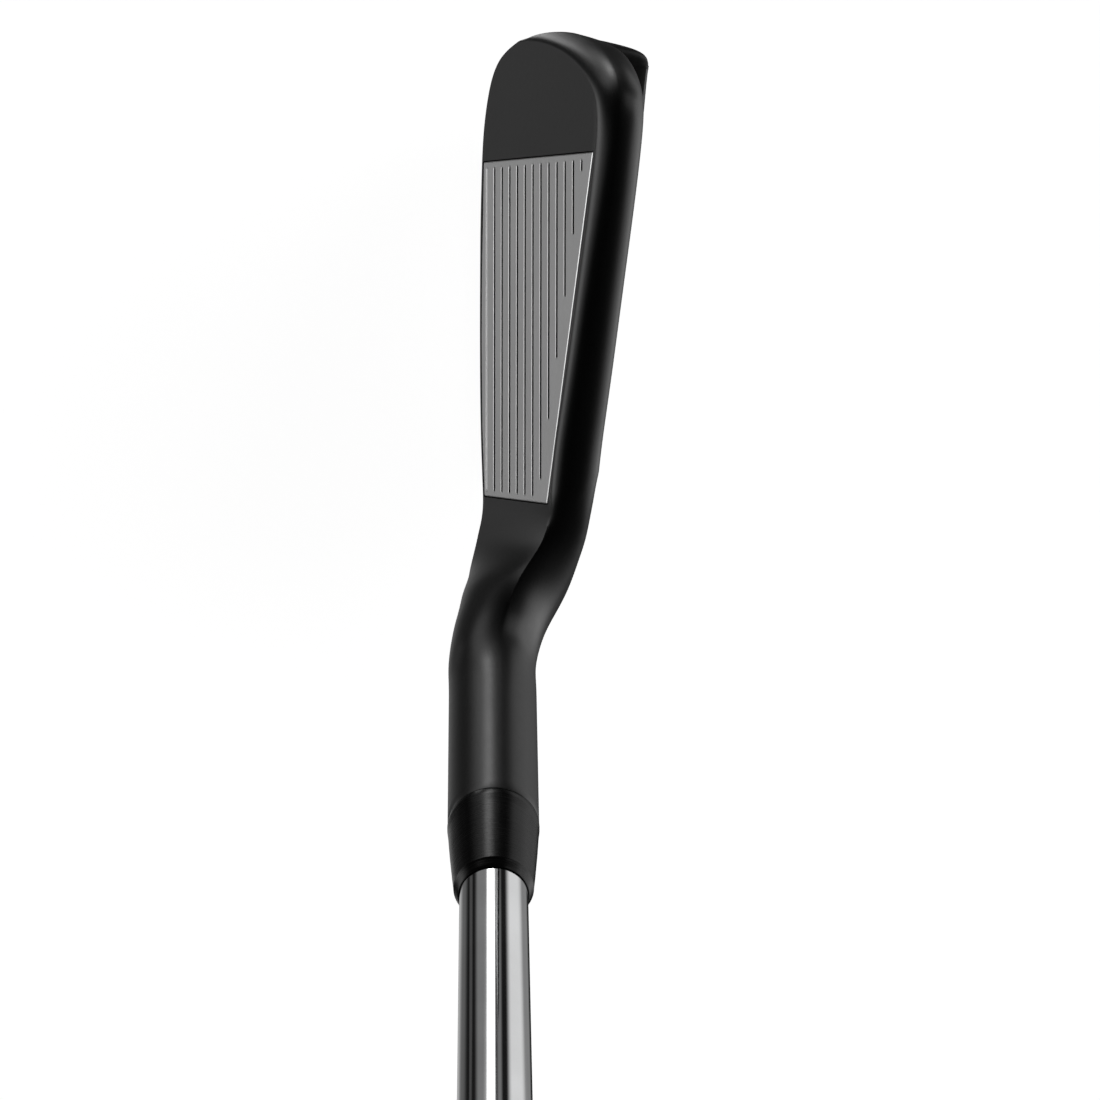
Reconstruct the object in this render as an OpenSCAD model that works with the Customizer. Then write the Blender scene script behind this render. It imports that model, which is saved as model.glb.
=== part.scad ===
// Hollow-bodied long iron golf club, right-handed, resting at address on the ground plane.
// Origin: where the shaft axis meets the ground. +Z up, -Y towards the target,
// -X towards the toe, and the shaft leans up towards +X at the lie angle.

/* [Club] */
// Length along the shaft axis from the ground to the butt end
club_length = 1003; // [960:1:1030]
// Angle between the shaft axis and the ground
lie = 60.5; // [59.5:0.5:61.5]
// Angle between the hitting face and the vertical
loft = 19; // [18:0.5:20]

/* [Face] */
// Distance from one score line to the next, up the face
line_pitch = 3.56; // [3.4:0.01:3.6]
// Number of score lines
line_count = 13; // [10:1:13]
// Width of a score line
line_w = 0.7; // [0.5:0.05:0.9]
// Depth of a score line
line_depth = 0.35; // [0.25:0.05:0.5]
// Thickness of the welded-in face plate
plate_t = 2.4; // [2:0.1:2.8]

/* [Hosel] */
// Outside diameter of the hosel
hosel_d = 13.42; // [13.2:0.02:13.6]
// Distance from the ground to the hosel's top end, along the shaft axis
hosel_top = 69; // [66:0.5:72]
// Depth of the hosel's bore
bore_depth = 31; // [27:0.5:33]
// Diameter of the hosel's bore
bore_d = 10.04; // [10:0.02:10.1]
// Length of the ferrule
ferrule_len = 17; // [16:0.5:20]

/* [Shaft] */
// Diameter of the shaft's tip end
tip_d = 9.54; // [9.4:0.02:9.6]
// Diameter where the plain tip section ends
plain_d = 11; // [10.6:0.1:11.4]
// Diameter of the butt end
butt_d = 15.24; // [15:0.02:15.4]
// Where the plain tip section ends, along the shaft axis
first_step = 250; // [230:5:270]
// Number of steps between the tip section and the butt section
step_count = 12; // [8:1:12]
// Distance from one step to the next
step_pitch = 41; // [36:0.5:41]
// Wall thickness of the tube
shaft_wall = 0.5; // [0.4:0.05:0.7]

/* [Grip] */
// Length of the grip with its cap
grip_len = 267; // [255:1:270]
// Diameter of the grip's mouth
mouth_d = 18; // [17.6:0.1:19]
// Diameter of the grip just below its cap
grip_d = 26.4; // [25:0.1:28]
// Diameter of the cap's rim
cap_d = 29.4; // [28.4:0.1:31]
// Diameter of the vent hole in the cap
vent_d = 3.2; // [2.4:0.1:4]

/* [Hidden] */
$fn = 96;

// Lowest score line: its height and its place behind the shaft axis
face_z = 6;
face_y = -0.87;
fit_gap = 0.02;
hosel_r = hosel_d / 2;
// The lofted neck stays this much inside the turned hosel where the two overlap
neck_tuck = 0.06;

function face_at(z) = face_y + (z - face_z) * tan(loft);

// ---------------------------------------------------------------- head surface
// Stations from the toe tip to the neck:
// [topline x, topline z, leading edge x, leading edge z, trailing edge y, crown of the top rim,
//  camber of the sole, roundness, half width, centre y, lean, how far the leading edge moves forward]
BLADE = [
    [-82.2, 19.5, -82.2, 19.5, 24.3, 2.5, 2.7, 0.00, 6.7,  0.0, 0.0,  0.0],
    [-82.1, 23.6, -81.5, 15.2, 24.5, 2.9, 2.6, 0.00, 6.7,  0.0, 0.0,  0.0],
    [-81.8, 30.3, -80.0, 11.1, 24.4, 2.3, 2.45, 0.00, 6.7,  0.0, 0.0,  0.0],
    [-80.4, 37.0, -77.5, 8.0, 24.2, 2.5, 2.4, 0.00, 6.7,  0.0, 0.0,  0.0],
    [-78.9, 42.1, -73.7, 5.9, 23.9, 2.7, 2.6, 0.00, 6.7,  0.0, 0.0,  0.0],
    [-75.5, 49.1, -69.7, 4.5, 23.5, 2.9, 3.0, 0.00, 6.7,  0.0, 0.0,  0.0],
    [-71.5, 52.7, -65.5, 3.8, 22.9, 3.1, 3.2, 0.00, 6.7,  0.0, 0.0,  0.0],
    [-65.3, 51.8, -60.5, 3.4, 22.2, 3.1, 3.4, 0.00, 6.7,  0.0, 0.0,  0.0],
    [-56.8, 49.1, -54.0, 3.0, 21.5, 2.9, 3.4, 0.00, 6.7,  0.0, 0.0,  0.0],
    [-48.0, 45.8, -47.0,  2.9, 20.6, 2.8, 3.4, 0.00, 6.7,  0.0, 0.0,  0.0],
    [-39.0, 42.5, -39.0,  2.8, 19.5, 2.8, 3.4, 0.00, 6.7,  0.0, 0.0,  0.0],
    [-30.0, 39.2, -30.0,  2.9, 18.4, 2.8, 3.4, 0.00, 6.7,  0.0, 0.0,  0.0],
    [-22.0, 35.7, -21.5,  3.2, 17.2, 2.8, 3.4, 0.00, 7.5,  6.5, 4.0,  0.0],
    [-15.5, 33.9, -14.0,  4.0, 15.9, 2.7, 3.5, 0.25, 9.2,  7.4, 5.8,  0.0],
    [-10.5, 33.1,  -6.5,  4.9, 14.8, 2.5, 2.8, 0.55, 8.8,  5.5, 2.5,  0.5],
    [ -6.3, 30.1,   0.5,  5.6, 15.3, 2.2, 2.0, 0.70, 8.5,  5.0, 1.5,  2.8],
    [ -2.6, 29.1,   6.8,  7.2, 13.8, 1.6, 1.2, 0.83, 8.1,  3.8, -0.2, 10.7],
    [  0.9, 28.3,  12.0, 10.4,  9.6, 0.9, 0.7, 0.93, 7.4,  1.6, 0.4, 10.8],
    [  4.8, 28.7,  15.6, 14.6,  7.9, 0.6, 0.4, 1.00, 6.9,  0.5, 0.3, 12.4]];

// Stations across the hosel's axis: [distance of the toe side, distance of the heel side,
//  fillet on the toe side, centre y]
NECK = [for (q = [[30.7, 27, 1.22, -0.2], [34.5, 32, 0.16, 0], [38, 38, 0, 0]])
    let (r = hosel_r - neck_tuck, rt = r + q[2])
    [q[0] * cos(lie) - rt * sin(lie), q[0] * sin(lie) + rt * cos(lie),
     q[1] * cos(lie) + r * sin(lie), q[1] * sin(lie) - r * cos(lie),
     7, 0.3, 0.3, 1, r, q[3], 0, 13.8]];
STATIONS = concat(BLADE, NECK);
last = len(STATIONS) - 1;

// Uniform cubic B-spline through the stations, held at both ends
function station(k) = k < 0 ? 2 * STATIONS[0] - STATIONS[1]
    : k > last ? 2 * STATIONS[last] - STATIONS[last - 1] : STATIONS[k];
function row(u) = let (i = min(floor(u), last - 1), f = u - i)
    (pow(1 - f, 3) * station(i - 1) + (3 * pow(f, 3) - 6 * f * f + 4) * station(i)
    + (-3 * pow(f, 3) + 3 * f * f + 3 * f + 1) * station(i + 1) + pow(f, 3) * station(i + 2)) / 6;

// Back of the head: a flat upper wall, a ledge, and the muscle below it
ledge_hi = 23;
ledge_lo = 21;
function upper_y(x, z) = 21.65 + 0.181 * (z - 50) - 0.052 * (x + 65.6);
function back_y(x, z, rear) = let (up = min(upper_y(x, z), rear), low = rear - 0.03 * (z - 6),
    f = clamp((z - ledge_lo) / (ledge_hi - ledge_lo))) low + (up - low) * f;

// A rim point: [depth behind the face edge, distance outside it]; square makes the rear half boxier
rim_power = 2.2;
function signed_pow(v, p) = sign(v) * pow(abs(v), p);
function rim(a, depth, crown, lift, square) = let (
    power = 2 / (cos(a) > 0 ? rim_power : rim_power + square),
    d = depth * (1 - signed_pow(cos(a), power)) / 2)
    [d, crown * pow(max(sin(a), 0), power) + lift * d / depth];

// Outward normal of an edge that runs through columns c and c + 1
function edge_normal(a, b, c, side) = let (d = [b[c] - a[c], b[c + 1] - a[c + 1]])
    side * [-d[1], d[0]] / norm(d);

face_n = 6;
rim_n = 8;
upper_n = 3;
ledge_n = 3;
wall_n = 4;
back_n = upper_n + ledge_n + wall_n;
ring_n = face_n + 2 * rim_n + back_n;

function clamp(f) = min(max(f, 0), 1);
function smooth(f) = let (c = clamp(f)) c * c * (3 - 2 * c);
function lerp(a, b, f) = a + (b - a) * f;
function upper_lift(u) = -(0.9 + 3.4 * pow(max(0, 1 - u / 8), 2));
function lower_lift(u) = -(4.3 * pow(max(0, 1 - u / 4), 2) + 1.6 * min(1, u / 4));
function toe_square(u) = 2.6 * pow(max(0, 1 - u / 6), 2);
// The face stays flat as far as the heel end of the hitting area, then turns into the neck
function face_turn(u) = smooth((u - 13.15) / 1.5);
function edge_shift(u) = smooth(u - 13.15);
// The neck's front stays flat up to the first x and is fully round from the second one
flat_to = -6;
round_from = 12;
function swell(x) = smooth((x - flat_to) / (round_from - flat_to));

// One closed section of the head
function section(u) = let (
    r = row(u), a = row(max(u - 0.01, 0)), b = row(min(u + 0.01, last)),
    top_n = u == 0 ? [-1, 0] : edge_normal(a, b, 0, 1),
    low_n = u == 0 ? [-1, 0] : edge_normal(a, b, 2, -1),
    t_lift = upper_lift(u), l_lift = lower_lift(u), turn = face_turn(u), square = toe_square(u),
    top = [r[0], r[1]], low = [r[2], r[3]], rear = r[4],
    top_end = top + t_lift * top_n, low_end = low + l_lift * low_n,
    top_depth = back_y(top_end[0], top_end[1], rear) - face_at(top[1]),
    low_depth = back_y(low_end[0], low_end[1], rear) - face_at(low[1]),
    // heights of the points down the back
    hi = min(ledge_hi, top_end[1]), lo = min(ledge_lo, top_end[1]),
    heights = concat(
        [for (k = [0 : upper_n - 1]) lerp(top_end[1], hi, k / upper_n)],
        [for (f = [0, 0.3, 0.7]) min(lerp(ledge_hi, ledge_lo, f), top_end[1])],
        [for (k = [0 : wall_n - 1]) lerp(lo, low_end[1], k / wall_n)]),
    drop = max(top_end[1] - low_end[1], 0.001),
    // sharp-edged section: [point, angle on the round section, height share, how far it has turned]
    sharp = concat(
        [for (k = [0 : face_n - 1]) let (f = k / face_n, p = lerp(low, top, f))
            [[p[0], face_at(p[1]), p[1]], lerp(-62, 100, f), f, turn]],
        [for (k = [0 : rim_n - 1]) let (d = rim(180 * k / rim_n, top_depth, r[5], t_lift, square),
            p = top + d[1] * top_n)
            [[p[0], face_at(top[1]) + d[0], p[1]], lerp(100, 168, k / rim_n), 1, lerp(turn, 1, k / rim_n)]],
        [for (k = [0 : back_n - 1]) let (z = heights[k], f = (top_end[1] - z) / drop,
            x = lerp(top_end[0], low_end[0], f))
            [[x, back_y(x, z, rear), z], lerp(168, 232, k / back_n), 1 - f, 1]],
        [for (k = [0 : rim_n - 1]) let (d = rim(180 * (1 - k / rim_n), low_depth, r[6], l_lift, square),
            p = low + d[1] * low_n)
            [[p[0], face_at(low[1]) + d[0], p[1]], lerp(232, 298, k / rim_n), 0, lerp(1, turn, k / rim_n)]]),
    half = norm(top - low) / 2, up = half == 0 ? [0, 1] : (top - low) / (2 * half), mid = (top + low) / 2,
    pts = [for (q = sharp) let (
        round_p = [mid[0] + up[0] * half * sin(q[1]), r[9] + r[10] * sin(q[1]) - r[8] * cos(q[1]),
            mid[1] + up[1] * half * sin(q[1])],
        w = q[3] * smooth(r[7] * 1.35 - 0.35 * q[2])) lerp(q[0], round_p, w)],
    // the neck's front, between the topline's edge and the leading edge
    low_edge = [pts[0][0], face_at(low[1]) - r[11] * edge_shift(u), pts[0][2]],
    front = [for (k = [0 : face_n - 1]) let (p = lerp(low_edge, pts[face_n], k / face_n))
        lerp(p, pts[k], swell(p[0]))],
    shift = front[0] - pts[0],
    sole = ring_n - rim_n)
    [for (k = [0 : ring_n - 1]) k < face_n ? front[k] : k < sole ? pts[k]
        : pts[k] + shift * pow((k - sole) / rim_n, 2)];

// Sections are close together round the toe and where the neck turns
USTEPS = concat([for (k = [0 : 15]) 6 * pow(k / 15, 1.25)], [for (k = [1 : 5]) 6 + 1.2 * k],
    [for (k = [1 : 24]) 12 + (last - 12) * k / 24]);

// At the toe tip the top rim and the lower rim are one line, so their points are shared
function tip_index(j) = j <= face_n ? 0 : j <= face_n + rim_n ? j - face_n
    : j <= face_n + rim_n + back_n ? rim_n : ring_n - j;
function index(i, j) = let (m = j % ring_n) i == 0 ? tip_index(m) : rim_n + 1 + (i - 1) * ring_n + m;
function distinct(t) = t[0] != t[1] && t[1] != t[2] && t[2] != t[0];

module head_skin() {
    tip = section(0);
    count = len(USTEPS);
    points = concat([for (k = [0 : rim_n]) tip[face_n + k]],
        [for (i = [1 : count - 1]) each section(USTEPS[i])],
        [[(STATIONS[last][0] + STATIONS[last][2]) / 2, 0, (STATIONS[last][1] + STATIONS[last][3]) / 2]]);
    centre = len(points) - 1;
    sides = [for (i = [0 : count - 2], j = [0 : ring_n - 1])
        let (a = index(i, j), b = index(i + 1, j), c = index(i + 1, j + 1), d = index(i, j + 1))
        each [[a, c, b], [a, d, c]]];
    end = [for (j = [0 : ring_n - 1]) [index(count - 1, j), index(count - 1, j + 1), centre]];
    polyhedron(points = points, faces = concat([for (t = sides) if (distinct(t)) t], end));
}

// ---------------------------------------------------------------- frames
// x along the score lines, y up the face from the lowest one, z out of the face
module on_face() translate([0, face_y, face_z]) rotate([90 - loft, 0, 0]) children();
// z along the shaft axis, from the ground
module on_shaft(s = 0) rotate([0, 90 - lie, 0]) translate([0, 0, s]) children();

// ---------------------------------------------------------------- face
hit_toe = -64.6;
hit_heel = -11.7;
hit_slope = -0.374;
hit_top = 47.6;
line_toe = -63.5;
line_heel = -12.7;
// The score lines end on a slanting line: its height above the hitting area's toe side, and its slope
line_top = 43.8;
line_slope = -0.384;

function hit_upper(x) = hit_top + hit_slope * (x - hit_toe);
function line_end(s) = min(line_heel, hit_toe + (s - line_top) / line_slope);

// The hitting area: bounded above by the topline and below by the leading edge
module hit_outline(inset = 0) {
    polygon([[hit_toe + inset, -1.7 + inset], [-48, -2.6 + inset], [-36.5, -2.8 + inset], [-23, -2.4 + inset],
        [hit_heel - inset, -1.3 + inset], [hit_heel - inset, hit_upper(hit_heel - inset) - inset],
        [hit_toe + inset, hit_upper(hit_toe + inset) - inset]]);
}

module line_slot(k, depth, w) {
    s = k * line_pitch;
    translate([line_toe, s - w / 2, -depth]) cube([line_end(s) - line_toe, w, depth + 1]);
}

module face_plate() {
    color("dimgray") difference() {
        on_face() translate([0, 0, -plate_t]) linear_extrude(plate_t) hit_outline(fit_gap);
        on_face() for (k = [0 : line_count - 1]) line_slot(k, line_depth, line_w);
    }
}

// Paint in the lowest score line
module line_fill() {
    fill_t = 0.3;
    length = line_end(0) - line_toe - 2 * fit_gap;
    color("white") on_face() translate([line_toe + fit_gap, fit_gap - line_w / 2, fit_gap - line_depth])
        cube([length, line_w - 2 * fit_gap, fill_t]);
}

// ---------------------------------------------------------------- rear wall
badge_t = 1.0;
tape_t = 0.25;
recess = badge_t + tape_t;
wall_x = -40;
wall_z = 33;
wall_rake = atan(0.181);
wall_sweep = atan(0.052);

// Local frame on the flat upper wall: x to the toe, y up, z out of the wall
module on_wall() translate([wall_x, upper_y(wall_x, wall_z), wall_z]) rotate([0, 0, -wall_sweep])
    rotate([90 + wall_rake, 0, 180]) children();

module badge_outline(i = 0) {
    polygon([[-20 + i, -8 + i], [30 - i, -8 + i], [31.5 - i, -2], [30 - i, 9 - i],
        [26 - i, 14.6 - i], [-20 + i, -1.4 - i]]);
}

module badge_slab(z0, z1, inset) {
    on_wall() translate([0, 0, z0]) linear_extrude(z1 - z0) badge_outline(inset);
}

module badge_tape() {
    color("dimgray") badge_slab(fit_gap - recess, -badge_t, 0.4);
}

module rear_badge() {
    color("black") badge_slab(fit_gap - badge_t, -0.1, 0.06);
}

// ---------------------------------------------------------------- hollow
// Space behind the face plate, with flat sides; inset shrinks every side
module cavity(inset = 0) {
    i = inset;
    front = plate_t / cos(loft) + i;
    rear_skin = 1.4;
    // the muscle's top stays closed above this height on the rear wall
    muscle_top = -13;
    difference() {
        intersection() {
            // front view
            translate([0, 40, 0]) rotate([90, 0, 0]) linear_extrude(60)
                polygon([[-68 + i, 4.8 + i], [-14 - i, 5.2 + i], [-14 - i, 29 - i],
                    [-62 + i, 46.6 - i], [-68 + i, 46.6 - i]]);
            // side view
            translate([-90, 0, 0]) rotate([90, 0, 90]) linear_extrude(90)
                polygon([[face_at(4) + front, 4], [face_at(50) + front, 50], [40, 50], [40, 4]]);
            // plan view
            translate([0, 0, -5]) linear_extrude(70)
                polygon([[-69, -5], [-12, -5], [-12, 13.8 - i], [-30, 16.5 - i], [-69, 20.9 - i]]);
        }
        on_wall() translate([-40, muscle_top - i, -recess - rear_skin - i]) cube([80, 60, 30]);
    }
}

module cavity_filler() {
    floor_z = 17;
    color("darkslategray") intersection() {
        cavity(0.1);
        translate([-70, -5, floor_z]) cube([60, 40, 40]);
    }
}

module sole_weight() {
    top_z = 13;
    color("gray") intersection() {
        cavity(0.1);
        translate([-65, -5, 0]) cube([34, 40, top_z]);
    }
}

// ---------------------------------------------------------------- toe port
port_y = 13.2;
port_z = 15.2;
port_r = 3.6;
port_end = -71;
screw_face = -81.7;
screw_head_t = 2.6;

module on_port(x) translate([x, port_y, port_z]) rotate([0, 90, 0]) children();

module toe_weight() {
    color("slategray") on_port(screw_face + screw_head_t + 0.1)
        cylinder(r = port_r - fit_gap, h = port_end - screw_face - screw_head_t - 0.2);
}

module toe_screw() {
    socket_r = 1.9;
    color("black") difference() {
        on_port(screw_face) cylinder(r = port_r - fit_gap, h = screw_head_t);
        on_port(screw_face - 1) cylinder(r = socket_r, h = 2.6, $fn = 6);
    }
}

// ---------------------------------------------------------------- head
bore_floor = hosel_top - bore_depth;

module head_body() {
    hosel_start = 30;
    color([0.08, 0.08, 0.08]) difference() {
        union() {
            head_skin();
            on_shaft(hosel_start) cylinder(r = hosel_r, h = hosel_top - hosel_start);
        }
        on_face() translate([0, 0, -plate_t - fit_gap]) linear_extrude(plate_t + 1) hit_outline();
        cavity();
        on_shaft(bore_floor) cylinder(d = bore_d, h = bore_depth + 1);
        on_port(screw_face - 4) cylinder(r = port_r, h = port_end - screw_face + 4);
        badge_slab(-recess, 3, 0);
    }
}

// ---------------------------------------------------------------- shaft
butt_s = club_length - 3;
shaft_start = bore_floor + 0.5;
shaft_tip_r = tip_d / 2;
grip_s = club_length - grip_len;

// Radius of the tapered tip section at a distance along the axis
function plain_r(s) = lerp(shaft_tip_r, plain_d / 2, (s - shaft_start) / (first_step - shaft_start));
function step_r(k) = lerp(plain_d, butt_d, k / step_count) / 2;
function step_s(k) = first_step + (k - 1) * step_pitch;
step_ramp = 2.5;

module shaft() {
    outer = concat([[shaft_tip_r, shaft_start], [plain_r(first_step), first_step]],
        [for (k = [1 : step_count]) each [[step_r(k), step_s(k) + step_ramp],
            [step_r(k), k == step_count ? butt_s : step_s(k + 1)]]]);
    inner = [for (k = [len(outer) - 1 : -1 : 0]) outer[k] - [shaft_wall, 0]];
    color("silver") on_shaft() rotate_extrude() polygon(concat(outer, inner));
}

// Adhesive sleeve between the hosel's bore and the shaft's tip
module shaft_bond() {
    bond_end = hosel_top - 0.2;
    low = bore_floor + 0.3;
    color("tan") on_shaft() rotate_extrude()
        polygon([[plain_r(low) + fit_gap, low + 0.2], [plain_r(bond_end) + fit_gap, bond_end],
            [bore_d / 2, bond_end], [bore_d / 2, low + 0.2]]);
}

module tip_weight() {
    length = 14;
    color("goldenrod") on_shaft(shaft_start + 0.5)
        cylinder(r = shaft_tip_r - shaft_wall - fit_gap, h = length);
}

module ferrule() {
    end = hosel_top + ferrule_len;
    barrel = hosel_r + 0.04;
    lip_r = 5.5;
    color([0.03, 0.03, 0.03]) on_shaft() rotate_extrude() polygon([
        [plain_r(hosel_top) + fit_gap, hosel_top + fit_gap], [hosel_r, hosel_top + fit_gap],
        [barrel, hosel_top + 0.8], [barrel - 0.12, hosel_top + 2.6], [barrel - 0.36, hosel_top + 7],
        [barrel - 0.7, hosel_top + 12], [barrel - 0.93, end - 1.7], [lip_r + 0.24, end - 1.4],
        [lip_r - 0.3, end - 0.1], [lip_r - 0.4, end], [plain_r(end) + fit_gap, end]]);
}

module shaft_band() {
    band_step = 7;
    band_t = 0.08;
    r = step_r(band_step);
    color("gainsboro") on_shaft(step_s(band_step) + 6) difference() {
        cylinder(r = r + band_t, h = 28);
        translate([0, 0, -1]) cylinder(r = r + 0.005, h = 30);
    }
}

// ---------------------------------------------------------------- grip
tape_r = butt_d / 2 + 0.2;
cap_t = 6;
cap_s = club_length - cap_t;
tape_end = butt_s - 4;

module grip_tape() {
    color("khaki") on_shaft() rotate_extrude()
        polygon([[butt_d / 2 + 0.005, grip_s + 4], [tape_r, grip_s + 4],
        [tape_r, tape_end], [butt_d / 2 + 0.005, tape_end]]);
}

module grip() {
    color([0.1, 0.1, 0.11]) on_shaft() rotate_extrude() polygon([
        [tape_r + fit_gap, grip_s], [mouth_d / 2 - 0.4, grip_s], [mouth_d / 2, grip_s + 0.6],
        [mouth_d / 2 + 0.25, grip_s + 5], [mouth_d / 2, grip_s + 8],
        [lerp(mouth_d, grip_d, 0.42) / 2, grip_s + 110],
        [grip_d / 2, cap_s - 25], [grip_d / 2 + 0.7, cap_s - fit_gap],
        [tape_r + fit_gap, cap_s - fit_gap]]);
}

module grip_cap() {
    rim = cap_d / 2;
    color([0.14, 0.14, 0.15]) on_shaft() rotate_extrude() polygon([
        [vent_d / 2, butt_s + 0.1], [tape_r + fit_gap, butt_s + 0.1], [tape_r + fit_gap, cap_s],
        [grip_d / 2 + 0.7, cap_s], [rim - 0.4, cap_s + 1.2], [rim, cap_s + 2.6], [rim - 0.3, cap_s + 4.2],
        [rim - 2, cap_s + 5.5], [rim - 4.5, club_length], [vent_d / 2, club_length]]);
}

head_body();
face_plate();
line_fill();
cavity_filler();
sole_weight();
toe_weight();
toe_screw();
badge_tape();
rear_badge();
ferrule();
shaft_bond();
tip_weight();
shaft();
shaft_band();
grip_tape();
grip();
grip_cap();
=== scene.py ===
"""Looks of the hollow-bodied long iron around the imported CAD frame.

Lengths inside the builders are in millimetres, in the CAD frame: origin where the shaft axis meets
the ground, +Z up, -Y towards the target, -X towards the toe. Meshes are written in metres.
"""
import math

import bmesh
import bpy
import numpy as np
from mathutils import Matrix, Vector


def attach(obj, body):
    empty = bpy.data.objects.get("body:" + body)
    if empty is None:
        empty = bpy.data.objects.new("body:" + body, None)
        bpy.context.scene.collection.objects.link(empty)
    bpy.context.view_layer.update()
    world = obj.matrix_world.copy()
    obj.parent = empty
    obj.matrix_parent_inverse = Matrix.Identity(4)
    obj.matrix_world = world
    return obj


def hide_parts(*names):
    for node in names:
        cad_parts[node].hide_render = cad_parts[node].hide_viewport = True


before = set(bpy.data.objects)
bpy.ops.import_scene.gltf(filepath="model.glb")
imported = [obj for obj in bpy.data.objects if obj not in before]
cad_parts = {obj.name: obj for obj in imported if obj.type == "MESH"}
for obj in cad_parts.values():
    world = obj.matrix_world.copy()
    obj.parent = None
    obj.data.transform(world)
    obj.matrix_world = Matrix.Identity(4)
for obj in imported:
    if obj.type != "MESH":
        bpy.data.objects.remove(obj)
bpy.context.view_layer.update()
MM = 0.001

LIE = math.radians(60.5)
LOFT = math.radians(19)
AXIS = np.array([math.cos(LIE), 0.0, math.sin(LIE)])
SIDE = np.array([0.0, 1.0, 0.0])
FRONT = np.cross(AXIS, SIDE)
FACE_ORIGIN = np.array([0.0, -0.87, 6.0])
FACE_UP = np.array([0.0, math.sin(LOFT), math.cos(LOFT)])
FACE_OUT = np.array([0.0, -math.cos(LOFT), math.sin(LOFT)])


# ------------------------------------------------------------------ mesh helpers
def make_piece(name, verts, faces, material, slot=None, stands_for=(), sharp=30.0, weld=0.0):
    """A mesh object from points in millimetres, smooth shaded up to the sharp angle."""
    mesh = bpy.data.meshes.new(name)
    mesh.from_pydata([tuple(v) for v in np.asarray(verts, float) * MM], [], [tuple(f) for f in faces])
    bm = bmesh.new()
    bm.from_mesh(mesh)
    if weld:
        bmesh.ops.remove_doubles(bm, verts=bm.verts, dist=weld * MM)
        bmesh.ops.dissolve_degenerate(bm, edges=bm.edges, dist=weld * MM)
    bmesh.ops.recalc_face_normals(bm, faces=bm.faces)
    bm.to_mesh(mesh)
    bm.free()
    obj = bpy.data.objects.new(name, mesh)
    bpy.context.scene.collection.objects.link(obj)
    if material is not None:
        mesh.materials.append(material)
    shade(obj, sharp)
    if stands_for:
        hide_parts(*stands_for)
    if slot:
        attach(obj, "root")
    return obj


def shade(obj, sharp):
    mesh = obj.data
    mesh.polygons.foreach_set("use_smooth", [True] * len(mesh.polygons))
    mesh.set_sharp_from_angle(angle=math.radians(sharp))
    mesh.update()


def grid_faces(rows, cols):
    """Quads between rings of cols points each, closed round each ring."""
    faces = []
    for i in range(rows - 1):
        for j in range(cols):
            k = (j + 1) % cols
            faces.append((i * cols + j, i * cols + k, (i + 1) * cols + k, (i + 1) * cols + j))
    return faces


def capped(rings):
    """A closed solid through rings of equal point count, with a flat cap at each end."""
    n, total = len(rings[0]), len(rings[0]) * len(rings)
    faces = grid_faces(len(rings), n)
    faces += [tuple(range(n)), tuple(range(total - n, total))]
    return np.concatenate(rings), faces


def joined_ends(rings):
    """A closed ring-shaped solid: the last ring meets the first."""
    n, last = len(rings[0]), (len(rings) - 1) * len(rings[0])
    faces = grid_faces(len(rings), n)
    for j in range(n):
        k = (j + 1) % n
        faces.append((last + j, last + k, k, j))
    return np.concatenate(rings), faces


def on_shaft(s, radius, angle):
    """Points at distance s along the shaft axis, radius from it, at an angle round it."""
    s, radius, angle = np.broadcast_arrays(s, radius, angle)
    return (s[..., None] * AXIS + (radius * np.cos(angle))[..., None] * FRONT
            + (radius * np.sin(angle))[..., None] * SIDE)


def turned(profile, segments):
    """A closed turned solid: profile is a loop of (s, radius)."""
    angle = np.linspace(0, 2 * math.pi, segments, endpoint=False)
    return joined_ends([on_shaft(float(s), float(radius), angle) for s, radius in profile])


def cut(obj, cutter):
    """Subtracts cutter from obj for good and removes the cutter."""
    boolean(obj, cutter, "DIFFERENCE")


def boolean(obj, other, operation):
    mod = obj.modifiers.new("cut", "BOOLEAN")
    mod.operation = operation
    mod.solver = "EXACT"
    mod.object = other
    bpy.context.view_layer.update()
    result = bpy.data.meshes.new_from_object(obj.evaluated_get(bpy.context.evaluated_depsgraph_get()))
    obj.modifiers.remove(mod)
    old = obj.data
    obj.data = result
    result.name = obj.name
    bpy.data.meshes.remove(old)
    bpy.data.objects.remove(other)


def prism(name, outline, low, high, origin, x_axis, y_axis, z_axis):
    """A straight prism on an outline, in a local frame."""
    pts = np.asarray(outline, float)
    n = len(pts)
    flat = pts[:, :1] * x_axis + pts[:, 1:] * y_axis
    verts = np.concatenate([origin + flat + low * z_axis, origin + flat + high * z_axis])
    faces = [tuple(range(n)), tuple(range(n, 2 * n))] + [
        (j, (j + 1) % n, n + (j + 1) % n, n + j) for j in range(n)]
    return make_piece(name, verts, faces, None)


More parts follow.
